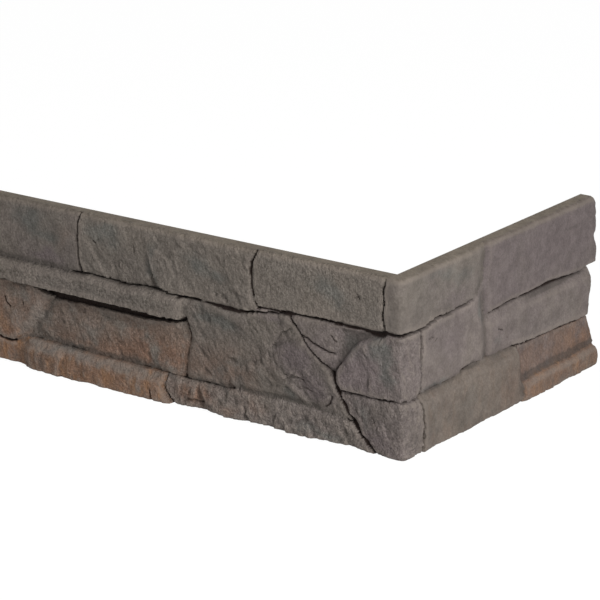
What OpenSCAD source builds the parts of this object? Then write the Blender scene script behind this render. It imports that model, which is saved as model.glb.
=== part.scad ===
// Corner piece of ledge stone wall cladding, one casting in millimetres.
// Origin: foot of the inner arris, where the two back faces meet.
// The long leg runs along -X and faces -Y, the short leg runs along +Y and faces +X, Z is up.
// Face places are given as [along, height], along counted from the outer arris:
// negative on the long leg, positive on the short leg.

/* [Overall] */
// Height of the piece
height = 150; // [120:5:180]
// Outer length of the long leg
long_leg = 480; // [360:10:600]
// Outer length of the short leg
short_leg = 296; // [240:4:400]

/* [Thickness] */
// Backing behind the stones, which is the floor of the joints
backing = 7; // [5:0.5:8.5]
// Distance of the plain stone faces from the wall
face = 13; // [12:0.5:16]
// Thin strip ahead of the plain faces
strip_proud = 8; // [3:0.5:12]
// Set back stone behind the plain faces
recess = 4.5; // [1:0.5:5]
// Ledge at the foot of the long leg ahead of the plain faces
ledge_proud = 6; // [2:0.5:10]
// Foot of the short leg ahead of the plain faces
foot_proud = 11; // [6:0.5:16]

/* [Joints and edges] */
// Width of the joints between the stones
joint = 1.4; // [1:0.1:3]
// Width of the broken rim round each stone
rim = 2; // [1.4:0.1:4]
// Fall of the rim toward the joint
rim_fall = 1.2; // [0.8:0.1:3]
// Squareness of the outer arris, higher is sharper
arris = 5; // [3:0.5:12]

/* [Riven faces] */
// Strength of the riven relief
relief = 1; // [0:0.1:1.5]
// Distance between the surface points
pitch = 8; // [8:0.5:14]

/* [Hidden] */
// Layout size the joint lines are drawn for.
plan_long = 480;
plan_short = 296;
plan_height = 150;
// Zone beside the arris that keeps its own size.
zone = 70;
long_end = -plan_long;
long_zoom = (long_leg - zone) / (plan_long - zone);
short_zoom = (short_leg - zone) / (plan_short - zone);
lift = height / plan_height;
// The stones start this far inside the backing.
sunk = 2.5;
// A face never falls closer to the backing than this.
least = 0.6;
stone_grey = "#6d665f";

// Joint lines as [along, height].
joint_top_long = [[-480, 96.5], [-330, 96.5], [-315, 98.5], [-290, 96.8], [-275, 95.8], [-262, 97.5],
                  [-245, 98.2], [-225, 97], [-190, 96], [-174, 94.4], [-155, 95.2], [-140, 98.2]];
joint_top_mid = [[-144, 101], [-125, 101.8], [-105, 102.8], [-65, 102.5], [-49, 102.4], [-39, 103.1],
                 [-13, 103.9]];
joint_great_high = [[-214, 97], [-190, 96], [-174, 94.4], [-155, 95.2], [-140, 98.2], [-125, 99.8],
                    [-107, 102]];
joint_top_corner = [[-13, 103.8], [0, 103.8], [13, 103], [26, 102.2], [34, 103], [42, 104.8], [53, 106.6],
                    [60, 105.6], [71, 105.4], [93, 106.4], [105, 108], [122, 113]];
joint_top_right = [[126, 88.3], [141, 88.9], [167, 90.3], [207, 90], [248, 88.5], [276, 87.5], [300, 89]];
joint_strip = [[-480, 78.2], [-389, 77.5], [-315, 77.6], [-243, 78], [-210, 78.5]];
joint_left_high = [[-480, 78.2], [-389, 77.5], [-374, 75.5], [-366, 71.5], [-350, 66]];
joint_slot = [[-400, 74], [-368, 70], [-360, 66.2], [-325, 66.3], [-289, 66.6], [-253, 67.6], [-235, 69],
              [-222, 72.5], [-215, 76]];
joint_ledge = [[-400, 26.3], [-330, 26.5], [-300, 26], [-265, 25.5], [-214, 25], [-150, 25.5], [-60, 25]];
joint_left_low = [[-480, 22], [-420, 22], [-407, 21], [-396, 23]];
joint_round = [[-62, 47.4], [-40, 47.2], [0, 48.6], [8, 47.2], [25, 47.2]];
joint_foot_short = [[25, 49], [85, 49], [92, 51], [125, 51.5], [144, 51.3], [175, 50], [193, 47.8],
                    [231, 47], [262, 45.6], [275, 45], [290, 44.8]];
joint_foot_ledge = [[170, 17.8], [300, 18.6]];

// Upright joint lines as [height, along].
side_top_mid = [[97, -141], [107, -144.5], [118, -147], [134, -147], [150, -142]];
side_top_arris = [[104, -13.6], [120, -17], [140, -17], [150, -13.6]];
side_diagonal = [[25, -47], [29, -50.8], [38, -56], [48, -61.4], [57, -64.4], [62, -70], [68, -78],
                 [77, -89.2], [84, -95.6], [91, -101.2], [101, -109]];
side_round = [[57, -64], [62, -63], [67, -60.5], [71.5, -58], [79, -53], [86, -48], [92, -40],
              [96.5, -32], [100, -22], [103, -12]];
side_strip = [[76, -217], [82, -214.5], [90, -214.5], [97, -216.5]];
slant = [[21, -392], [29.5, -387], [47, -374.5], [65, -362], [76, -357]];
side_corner_foot = [[0, -23], [2, -25], [7, -31], [12, -37], [17, -41.5], [25, -47], [29, -50.8],
                    [38, -56], [47, -60.8]];
side_foot_split = [[0, 172.5], [7, 174.8], [18, 174], [31, 172], [40, 169.6], [50, 166.8]];
end_top_right = [[90, 299.5], [104, 301], [110, 298.5], [117, 297], [127, 301], [140, 299.5], [150, 296]];
end_short_right = [[45, 287.5], [54, 288.6], [66, 290.2], [78, 288], [84, 285], [90, 281.5]];
end_brown_slope = [[17, 296.5], [26, 295.2], [36, 292.6], [46, 289.6]];
end_foot_ledge = [[0, 291], [4, 293], [8, 294.2], [13, 293.6], [18, 292]];

// Soft falls to the sides of a stone, each [width, fall] at the left, right, low and high side.
head = [5, 2.6];
none = [0, 0];

// Place on the drawn layout to the real leg lengths.
function run(u) =
    u < -zone ? -zone + (u + zone) * long_zoom :
    u > zone ? zone + (u - zone) * short_zoom : u;

// Smooth step from 0 to 1.
function ease(t) =
    let (c = max(0, min(1, t)))
    c * c * (3 - 2 * c);

// Riven relief about -1 to 1, from crossing folds and one broken step.
function riven(u, z, seed) =
    let (
        bend = 34 * sin(2.3 * u + 4.9 * z + 40 * seed),
        fold = sin(2.9 * u + 5.1 * z + bend + 71 * seed),
        cross = sin(-3.7 * u + 6.3 * z - 0.7 * bend + 133 * seed),
        fine = sin(9.1 * u - 6.9 * z + bend + 57 * seed) * sin(6.7 * u + 9.3 * z + 29 * seed)
    )
    0.5 * (1 - 2 * abs(fold)) + 0.3 * cross + 0.25 * fine;

// Point of the casting for a place on the face and a distance from the wall.
// Round the arris the places fan out, and the distance follows a squared-off circle.
function point_at(u, z, d) =
    u <= -face ? [run(u) + face, -d, z * lift] :
    u >= face ? [d, run(u) - face, z * lift] :
    let (
        turn = u < 0 ? atan2(face + u, face) : 90 - atan2(face - u, face),
        c = cos(turn),
        s = sin(turn),
        r = d / pow(pow(c, arris) + pow(s, arris), 1 / arris)
    )
    [r * s, -r * c, z * lift];

// Shares of a width at which the surface points lie: two rims and an even field between.
function shares(size, near, far, edges) =
    let (
        first = edges[0] ? min(rim / size, 0.2) : 0,
        last = edges[1] ? 1 - min(rim / size, 0.2) : 1,
        count = max(1, round(size * (last - first) / pitch))
    )
    concat(
        edges[0] ? [0] : [],
        [for (i = [0 : count]) first + (last - first) * i / count],
        edges[1] ? [1] : []);

// Shares for a stone that wraps the arris, closer together round it.
function wrap_shares(u0, u1) =
    let (
        lines = [for (u = [-90, -80, -70, -61, -52, -43, -34, -26, -18, -12, -8, -4, 0, 4, 8, 12, 18, 26, 35,
                           44, 53, 62, 71, 80, 89, 98, 107, 116, 125])
                 if (u > u0 + rim + 1.5 && u < u1 - rim - 1.5) (u - u0) / (u1 - u0)]
    )
    concat([0, rim / (u1 - u0)], lines, [1 - rim / (u1 - u0), 1]);

// One stone between four joint lines.
// low and high are [along, height] lines, left and right are [height, along] lines.
// gaps: joint on the left, right, low and high side, 1 for a joint and 0 for an outer edge.
// soft: how far the face slopes down to the left, right, low and high side, as [width, fall].
module stone(low, high, left, right, out, gaps = [1, 1, 1, 1], soft = [none, none, none, none], rough = 0.5,
              seed = 1, lean = [0, 0], wraps = false, seat = backing - sunk) {
    zm = (low[0][1] + high[0][1]) / 2;
    um = (lookup(zm, left) + lookup(zm, right)) / 2;
    u0 = lookup(zm, left);
    u1 = lookup(zm, right);
    z0 = lookup(um, low);
    z1 = lookup(um, high);
    across = wraps ? wrap_shares(u0, u1) : shares(abs(run(u1) - run(u0)), 0, 0, [true, true]);
    up = shares((z1 - z0) * lift, 0, 0, [true, true]);
    nu = len(across);
    nz = len(up);
    // Places on the face: four rounds settle the crossing of the side lines with the low and high lines.
    function settle(a, b, z, left_turns) =
        let (
            ul = lookup(z, left) + gaps[0] * joint / 2,
            ur = lookup(z, right) - gaps[1] * joint / 2,
            u = ul + (ur - ul) * a,
            zl = lookup(u, low) + gaps[2] * joint / 2,
            zh = lookup(u, high) - gaps[3] * joint / 2,
            zn = zl + (zh - zl) * b
        )
        left_turns == 0 ? [u, zn, ur - ul, zh - zl] : settle(a, b, zn, left_turns - 1);
    places = [for (b = up) for (a = across) concat(settle(a, b, z0 + (z1 - z0) * b, 4), [a, b])];
    function fall(dist, s, gap) =
        (s[0] > 0 ? s[1] * (1 - ease(dist / s[0])) : 0)
        + (dist < rim * 0.5 ? (gap == 1 ? rim_fall : rim_fall * 0.6) : 0);
    function distance(p) =
        let (
            dl = p[2] * p[4],
            dr = p[2] * (1 - p[4]),
            db = p[3] * p[5],
            dt = p[3] * (1 - p[5])
        )
        max(backing + least, out + lean[0] * (p[4] - 0.5) + lean[1] * (p[5] - 0.5)
            + rough * relief * riven(p[0], p[1], seed)
            - max(max(fall(dl, soft[0], gaps[0]), fall(dr, soft[1], gaps[1])),
                  max(fall(db, soft[2], gaps[2]), fall(dt, soft[3], gaps[3]))));
    front = [for (p = places) point_at(p[0], p[1], distance(p))];
    back = [for (p = places) point_at(p[0], p[1], seat)];
    n = nu * nz;
    function f(i, j) = j * nu + i;
    function g(i, j) = n + j * nu + i;
    // Ring of edge points, counted round the stone seen from the front.
    ring = concat(
        [for (i = [0 : nu - 2]) [i, 0]],
        [for (j = [0 : nz - 2]) [nu - 1, j]],
        [for (i = [nu - 1 : -1 : 1]) [i, nz - 1]],
        [for (j = [nz - 1 : -1 : 1]) [0, j]]);
    rn = len(ring);
    skirt = [for (k = [0 : rn - 1])
                 let (p = ring[k], q = ring[(k + 1) % rn])
                 each [[f(p[0], p[1]), g(p[0], p[1]), g(q[0], q[1])],
                       [f(p[0], p[1]), g(q[0], q[1]), f(q[0], q[1])]]];
    face_cells = [for (j = [0 : nz - 2]) for (i = [0 : nu - 2])
                 each ((i + j) % 2 == 0
                     ? [[f(i, j), f(i + 1, j + 1), f(i + 1, j)], [f(i, j), f(i, j + 1), f(i + 1, j + 1)]]
                     : [[f(i, j), f(i, j + 1), f(i + 1, j)], [f(i + 1, j), f(i, j + 1), f(i + 1, j + 1)]])];
    // The hidden side is spanned in upright strips, with a fan at either end.
    mid = floor((nz - 1) / 2);
    top = nz - 1;
    hidden = wraps
        ? [for (j = [0 : nz - 2]) for (i = [0 : nu - 2])
                each [[g(i, j), g(i + 1, j), g(i + 1, j + 1)], [g(i, j), g(i + 1, j + 1), g(i, j + 1)]]]
        : concat(
            [for (i = [1 : nu - 3])
                 each [[g(i, 0), g(i + 1, 0), g(i + 1, top)],
                       [g(i, 0), g(i + 1, top), g(i, top)]]],
            [for (j = [0 : mid - 1]) [g(0, j), g(1, 0), g(0, j + 1)]],
            [[g(0, mid), g(1, 0), g(1, top)]],
            [for (j = [mid : top - 1]) [g(0, j), g(1, top), g(0, j + 1)]],
            [for (j = [0 : mid - 1]) [g(nu - 1, j), g(nu - 1, j + 1), g(nu - 2, 0)]],
            [[g(nu - 1, mid), g(nu - 2, top), g(nu - 2, 0)]],
            [for (j = [mid : top - 1]) [g(nu - 1, j), g(nu - 1, j + 1), g(nu - 2, top)]]);
    polyhedron(points = concat(front, back), faces = concat(face_cells, skirt, hidden), convexity = 10);
}

function upright(u) = [[0, u], [plan_height, u]];
function level(z) = [[-plan_long, z], [plan_short, z]];

// Top course of the long leg.
module top_left() {
    stone(joint_top_long, level(150), upright(long_end), upright(-328.5), face,
          gaps = [0, 1, 1, 0], soft = [none, none, none, head], rough = 0.5, seed = 1);
}

module top_riven() {
    stone(joint_top_long, level(150), upright(-328.5), side_top_mid, face + 0.8,
          gaps = [1, 1, 1, 0], soft = [none, none, none, head], rough = 1.1, seed = 2);
}

module top_sandy() {
    stone(joint_top_mid, level(150), side_top_mid, side_top_arris, face,
          gaps = [1, 1, 1, 0], soft = [none, none, none, head], rough = 0.5, seed = 3);
}

module top_corner() {
    stone(joint_top_corner, level(150), side_top_arris, upright(125.5), face + 0.3,
          gaps = [1, 0, 1, 0], soft = [none, [14, 3.5], none, head], rough = 0.4, seed = 4, wraps = true);
}

module top_right() {
    stone(joint_top_right, level(150), upright(125.5), end_top_right, face + 0.5,
          gaps = [0, 0, 1, 0], soft = [[10, 3], none, none, head], rough = 0.4, seed = 5, seat = 0);
}

// Middle courses of the long leg.
module strip() {
    stone(joint_strip, joint_top_long, upright(long_end), side_strip, face + strip_proud,
          gaps = [0, 1, 1, 1], soft = [none, [3, 1.6], none, none], rough = 0.35,
          seed = 6);
}

module left_block() {
    stone(joint_left_low, joint_left_high, upright(long_end), slant, face + 1,
          gaps = [0, 0, 1, 1], soft = [none, [15, 5], none, none], rough = 1, seed = 7);
}

module left_foot() {
    stone(level(0), joint_left_low, upright(long_end), upright(-399), face + 0.5,
          gaps = [0, 1, 0, 1], rough = 0.8, seed = 8, lean = [0, 1.5]);
}

module set_back() {
    stone(joint_ledge, joint_slot, slant, upright(-214), face - recess,
          gaps = [0, 1, 1, 1], rough = 0.5, seed = 9);
}

module ledge() {
    stone(level(0), joint_ledge, [[0, -396], [12, -399], [26, -393]], upright(-234.5), face + ledge_proud,
          gaps = [1, 1, 0, 1], soft = [[16, 5], none, none, [5, 2]], rough = 0.8, seed = 10);
}

module foot_rough() {
    stone(level(0), joint_ledge, upright(-234.5), side_corner_foot, face + 1.2,
          gaps = [1, 1, 0, 1], rough = 1.2, seed = 11);
}

module great_riven() {
    stone(joint_ledge, joint_great_high, upright(-214), side_diagonal, face + 1, rough = 1.2, seed = 12);
}

module wedge() {
    stone([[-110, 60], [-50, 60]], joint_top_mid, side_diagonal, side_round, face - 0.5,
          gaps = [1.5, 1, 1, 1], soft = [none, [14, 4], none, none], rough = 0.9, seed = 13);
}

module round_corner() {
    stone(joint_round, joint_top_corner, side_round, upright(27.5), face + 1.6,
          gaps = [1.3, 1, 1, 1], soft = [[6, 1.5], none, none, none], rough = 1, seed = 14, wraps = true);
}

module corner_foot() {
    stone(level(0), joint_round, side_corner_foot, upright(27), face + 2.5,
          gaps = [1.3, 1, 0, 1], rough = 1.3, seed = 15, lean = [7, -2], wraps = true);
}

// Middle and low courses of the short leg.
module short_block() {
    stone(joint_foot_short, joint_top_corner, upright(27.5), upright(125.5), face + 2,
          gaps = [1, 0, 1, 1], soft = [none, [14, 4], none, none], rough = 0.6, seed = 16);
}

module short_right() {
    stone(joint_foot_short, joint_top_right, upright(125.5), end_short_right, face + 2.5,
          gaps = [0, 0, 1, 1], soft = [[10, 2.5], none, none, [12, 2.5]], rough = 0.6, seed = 17, seat = 0);
}

module short_foot() {
    stone(level(0), joint_foot_short, upright(27), side_foot_split, face + 6.5,
          gaps = [1, 1, 0, 1], soft = [none, none, none, [9, 3.5]], rough = 0.8, seed = 18, lean = [0, -3]);
}

module brown_slope() {
    stone(joint_foot_ledge, joint_foot_short, side_foot_split, end_brown_slope, face + 1.5,
          gaps = [1, 0, 1, 1], rough = 0.6, seed = 19, lean = [0, -4], seat = 0);
}

module foot_ledge() {
    stone(level(0), joint_foot_ledge, side_foot_split, end_foot_ledge, face + foot_proud,
          gaps = [1, 0, 0, 1], soft = [none, none, none, [5, 2.5]], rough = 0.7, seed = 20, seat = 0);
}

// Broken shell on a riven face of the long leg: the convex skin over a few points,
// each [along, height, rise above the face], with its foot inside the stone.
module shell(points, out) {
    hull()
        for (p = points, foot = [false, true])
            translate([run(p[0]) + face, -out - (foot ? -3 : p[2] * relief), p[1] * lift])
                cube(0.1, center = true);
}

module shells() {
    shell([[-249, 114, 1.4], [-246, 104, 1.6], [-240, 101, 1.5], [-212, 100, 0.6], [-196, 108, -0.8],
           [-200, 130, -0.8], [-222, 142, 0], [-243, 134, 1.2]], face + 0.8);
    shell([[-183, 105, 1.2], [-173, 102, 1.3], [-152, 101, 0.9], [-149, 120, 0.3], [-160, 138, -0.8],
           [-180, 128, -0.2]], face + 0.8);
    shell([[-322, 104, 0.6], [-300, 101, 1.2], [-272, 99, 1.3], [-262, 112, 0.6], [-280, 136, -0.8],
           [-310, 140, -0.6]], face + 0.8);
    shell([[-126, 98, 1.2], [-109, 97, 1.5], [-100, 84, 1.3], [-104, 72, 0.6], [-120, 76, -0.5]], face + 1);
    shell([[-112, 66, 0.9], [-100, 72, 1.1], [-82, 62, 1.5], [-72, 50, 1.5], [-88, 44, 0.3],
           [-108, 50, -0.6]],
          face + 1);
    shell([[-200, 92, 1], [-160, 91, 1.3], [-140, 80, 0.3], [-160, 70, -0.8], [-196, 76, -0.3]], face + 1);
    shell([[-205, 60, 1], [-180, 64, 0.2], [-165, 48, -0.7], [-178, 32, 0.4], [-206, 30, 1]], face + 1);
    shell([[-150, 40, 0.2], [-128, 46, -0.6], [-104, 40, 0.3], [-92, 30, 1.1], [-120, 29, 1.3],
           [-148, 29, 1]],
          face + 1);
    shell([[-158, 66, -0.6], [-132, 66, 0.9], [-126, 56, 1], [-140, 46, 0.2], [-156, 50, -0.6]], face + 1);
    shell([[-228, 20, 1.1], [-200, 21, 1], [-180, 16, -0.5], [-190, 4, -0.3], [-226, 4, 0.8]], face + 1.2);
    shell([[-150, 20, 0.6], [-120, 22, 1.2], [-96, 18, 0.8], [-92, 6, -0.3], [-130, 3, -0.2],
           [-150, 6, -0.4]],
          face + 1.2);
}

// Backing of both legs, with the two flat faces that go against the wall.
module backing_slab() {
    linear_extrude(height = height)
        polygon([[run(long_end) + face, 0], [run(long_end) + face, -backing], [backing, -backing],
                 [backing, run(280) - face], [0, run(280) - face], [0, 0]]);
}

module corner_stone() {
    color(stone_grey)
        union() {
            backing_slab();
            top_left();
            top_riven();
            top_sandy();
            top_corner();
            top_right();
            strip();
            left_block();
            left_foot();
            set_back();
            ledge();
            foot_rough();
            great_riven();
            wedge();
            round_corner();
            corner_foot();
            short_block();
            short_right();
            short_foot();
            brown_slope();
            foot_ledge();
            shells();
        }
}

corner_stone();
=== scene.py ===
"""Stone cladding corner piece: the cast stone's relief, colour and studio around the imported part."""

import math

import bmesh
import bpy
import numpy as np
from bpy.props import FloatProperty, PointerProperty, StringProperty
from mathutils import Matrix, Vector


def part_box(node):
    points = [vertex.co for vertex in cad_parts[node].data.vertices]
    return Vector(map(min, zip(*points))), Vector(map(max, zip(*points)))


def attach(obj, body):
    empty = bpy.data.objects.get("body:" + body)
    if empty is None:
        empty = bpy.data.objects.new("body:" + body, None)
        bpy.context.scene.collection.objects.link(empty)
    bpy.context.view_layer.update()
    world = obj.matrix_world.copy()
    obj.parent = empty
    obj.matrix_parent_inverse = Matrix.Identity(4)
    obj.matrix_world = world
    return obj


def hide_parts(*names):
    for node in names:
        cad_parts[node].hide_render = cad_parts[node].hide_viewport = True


bl_info = {
    "name": "Stone cladding corner piece",
    "version": (1, 0, 0),
    "blender": (4, 5, 0),
    "location": "View3D > Sidebar > Corner stone",
    "description": "Builds a cast ledge stone corner with its joints, riven faces and oxide colours",
    "category": "Object",
}

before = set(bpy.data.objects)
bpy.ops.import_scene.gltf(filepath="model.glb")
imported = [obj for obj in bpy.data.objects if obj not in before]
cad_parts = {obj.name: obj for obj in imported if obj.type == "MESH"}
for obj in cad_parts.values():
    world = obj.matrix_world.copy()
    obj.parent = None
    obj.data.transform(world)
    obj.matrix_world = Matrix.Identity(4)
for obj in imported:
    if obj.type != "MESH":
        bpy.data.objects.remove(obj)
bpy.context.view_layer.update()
NODE_LOW, NODE_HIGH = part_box("corner_stone")
MM = 0.001

# Face places are (along, height) in millimetres. along counts from the outer arris, negative on the
# long leg and positive on the short one; depth is the distance from the wall.
FACE = 13.0
LONG_END = round(NODE_LOW[0] / MM - FACE, 3)
TOP = round(NODE_HIGH[2] / MM, 3)
SHORT_END = 296.0
# The short leg's cells stretch between this place and its ragged end, which stays inside the last one.
BEND = 268.0
END_LIMIT = 300.4
# Foot of the top course at the arris. There the arris is a squared-off circle of the first exponent, and
# below it is crisper by the second.
TOP_COURSE = 104.0
ARRIS_ROUND = 5
ARRIS_CRISPER = 9


# ---------------- joint lines
def line(*points, jag=0.36, spacing=2.1):
    """A joint's line as a function of its first coordinate, with the small jags of a split edge.

    Lines that start at the same point share their jags as far as they run together.
    """
    keys, values = np.array(points, float).T
    jags = np.arange(keys[0], keys[-1], spacing)
    seed = int(7 * abs(keys[0]) + abs(values[0]))
    sizes = np.random.default_rng(seed).uniform(-jag, jag, len(jags))
    places = np.union1d(keys, jags)
    heights = np.interp(places, keys, values) + np.interp(places, jags, sizes)
    return lambda at: np.interp(at, places, heights)


TOP_LONG = line((-480, 96.5), (-330, 96.5), (-315, 98.5), (-290, 96.8), (-275, 95.8), (-262, 97.5),
    (-245, 98.2), (-225, 97), (-214, 96.2), (-190, 96), (-179, 94.9), (-172, 94.3), (-165, 94.2),
    (-153, 95.2), (-140, 97.8), (-125, 99.2), (-111, 101.4), (-107, 102.3))
TOP_MID = line((-150, 100.8), (-138, 101.3), (-125, 102), (-112, 102.6), (-105, 102.8), (-90, 102.6),
    (-78, 103), (-65, 102.6), (-49, 102.4), (-39, 102.2), (-31, 100.7), (-25, 101), (-18, 102.8), (-13, 104))
TOP_CORNER = line((-13, 104), (-6, 103.6), (0, 103.9), (13, 103), (26, 102.2), (34, 103), (42, 105),
    (48, 106.2), (53, 107), (60, 105.6), (71, 105.4), (80, 105.8), (93, 106.4), (100, 107.2), (105, 108),
    (111, 110.8), (118, 115), (122, 119))
TOP_RIGHT = line((126, 88.3), (141, 88.9), (155, 90), (167, 90.4), (190, 90), (207, 90.2), (225, 90),
    (248, 88.6), (276, 87.4), (284, 89.4), (300, 89.6), jag=0.15)
STRIP_LOW = line((-480, 78), (-430, 77.8), (-414, 77), (-389, 76.8), (-360, 76.2), (-315, 76.4), (-278, 76.2),
    (-243, 76), (-210, 76.4), jag=0.1)
LEFT_HIGH = line((-480, 78.2), (-430, 78), (-414, 77.4), (-389, 77.3), (-380, 76.4), (-374, 75), (-368, 72.4),
    (-362, 69.6), (-350, 67.6), jag=0.1)
SLOT = line((-400, 76), (-374, 73.4), (-368, 70.6), (-362, 68.6), (-359, 67.8), (-340, 68), (-325, 68),
    (-300, 68.4), (-289, 68.2), (-270, 68.8), (-253, 69.4), (-235, 71), (-226, 72.6), (-220, 74.4),
    (-214, 76.4), jag=0.1)
LEDGE = line((-400, 27.2), (-380, 27.4), (-340, 26.8), (-300, 26), (-265, 25.5), (-240, 25.6), (-214, 25),
    (-190, 25.6), (-170, 25.2), (-159, 28.6), (-152, 26.4), (-130, 27), (-110, 27.6), (-90, 27.1),
    (-70, 25.6), (-60, 24.6), (-45, 22), jag=0.1)
LEFT_LOW = line((-480, 22.4), (-423, 22.2), (-414, 21), (-407, 20.6), (-401, 21.6), (-396, 23.4))
ROUND_LOW = line((-64, 47.6), (-50, 46.8), (-40, 46.9), (-20, 47.2), (0, 48.6), (8, 47.6), (16, 46.8),
    (25, 47))
SHORT_LOW = line((25, 48.8), (38, 48.9), (60, 48.6), (77, 48.8), (85, 50), (92, 51.4), (102, 52.6),
    (125, 52.2), (144, 51.6), (164, 51), (169, 50.4), (180, 49), (193, 47.8), (210, 47.4), (231, 47.1),
    (250, 46.4), (262, 45.6), (275, 45), (290, 44.6), jag=0.15)
FOOT_LEDGE = line((170, 17.6), (185, 18.2), (210, 19.2), (230, 18.6), (251, 18.4), (270, 19.6), (300, 18.6))

# The black crack that runs up from the foot of the long leg between the great riven stone and the arris.
MAIN_CRACK = ((0, -23.6), (2, -25.4), (5, -28.4), (7, -31.2), (9, -33), (11, -36.6), (14, -39.4), (17, -41.3),
    (21.8, -45), (25, -47.2), (29.2, -50.8), (33, -52.6), (38, -56.2), (43, -58.4), (48.3, -61.4),
    (52, -62.6), (55, -64), (57.7, -64.4))
TOP_LEFT_SIDE = line((95, -325), (99, -325.6), (104, -328), (112, -330), (125, -330.4), (140, -329.8),
    (150, -327))
TOP_MID_SIDE = line((99, -140.4), (101.8, -141), (104, -142.6), (107, -144.2), (113, -145.6), (121, -147),
    (134, -147), (142, -145), (149, -142))
TOP_ARRIS_SIDE = line((100, -13.2), (102, -14.2), (104, -15.6), (108, -16.1), (114, -16.9), (120, -17.5),
    (125, -16.9), (130, -15.9), (133.5, -16.8), (137, -17.4), (140, -17.6), (144, -15.9), (147, -15.6),
    (151, -15.4))
VALLEY_SIDE = line((48, 126), (80, 125.6), (92, 124.6), (112, 121.6), (130, 125), (150, 127))
STRIP_END = line((70, -213), (78, -214.6), (84, -213.4), (91, -214), (99, -216))
LEFT_SLANT = line((18, -395), (24, -391.6), (29.5, -387.4), (38, -381), (47, -374.4), (56, -367.6),
    (65, -361.6), (70, -358.4), (78, -354))
MID_UPRIGHT = line((18, -216), (28, -216), (40, -214.6), (52, -212.6), (60, -210), (65, -209.4), (72, -212),
    (77, -213.8), (85, -215.6), (99, -217))
FOOT_LEFT_SIDE = line((0, -397.5), (10, -400), (20, -399), (27, -396))
FOOT_MID_SIDE = line((0, -229.5), (3, -230.4), (8, -234.2), (14, -237.4), (20, -235.4), (27, -234.6))
DIAGONAL = line(*MAIN_CRACK, (59.3, -66.4), (62, -69.8), (65, -74), (67.6, -78), (72, -83.6), (76.7, -89.2),
    (84, -95.8), (88, -98.6), (91.4, -101.4), (96, -105.4), (99.8, -109), (103, -111))
ROUND_SIDE = line(*MAIN_CRACK, (60, -64), (63, -63), (67, -60.8), (71.5, -57.6), (76, -54.4), (81, -51),
    (86, -47.4), (91, -42), (94.5, -36), (97, -29.5), (98.6, -24), (100, -19), (103, -16))
FOOT_CORNER_SIDE = line(*MAIN_CRACK)
SHORT_BLOCK_SIDE = line((0, 25), (12, 26.2), (24, 26.6), (35, 24.6), (42, 23), (48, 22.4), (52, 27.4),
    (66, 27.6), (85, 27.2), (92, 28.4), (105, 26.4))
FOOT_SPLIT_SIDE = line((0, 172.5), (7, 174.8), (13, 174.8), (18, 174), (25, 174), (31, 174.4), (40, 173.6),
    (50, 172.4))


def upright(along):
    return line((0, along), (TOP, along))


def level(height):
    return line((-600, height), (600, height))


class Stone:
    """One stone of the relief, between four lines, with its own distance from the wall and finish.

    open_sides names the sides that are an outer edge of the casting, where there is no joint: l, r, b or t.
    slopes maps a side to (width, fall): how far in the face falls softly towards it, and how much. A third
    value of True makes a straight bevel of it.
    lean is the rise of the face from the left to the right side and from the foot to the head.
    facets, rolling and grit are the strengths of its riven grain, its hollows and its sand.
    tone multiplies its colour, and rust and brown are its shares of the two oxides.
    steep is true where its grain runs almost upright, and false where it runs down to the right.
    fine is the strength of the grain drawn by shading alone, violet how far the grey turns violet.
    """

    def __init__(self, low, high, left, right, out, open_sides="", slopes=None, lean=(0.0, 0.0),
                 facets=0.8, rolling=1.0, grit=0.05, tone=1.02, rust=0.0, brown=0.0, steep=True,
                 fine=1.0, violet=0.2):
        self.low, self.high, self.left, self.right = low, high, left, right
        self.out, self.open_sides, self.slopes, self.lean = out, open_sides, slopes or {}, lean
        self.facets, self.rolling, self.grit = facets, rolling, grit
        self.tone, self.rust, self.brown, self.steep = tone, rust, brown, steep
        self.fine, self.violet = fine, violet


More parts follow.
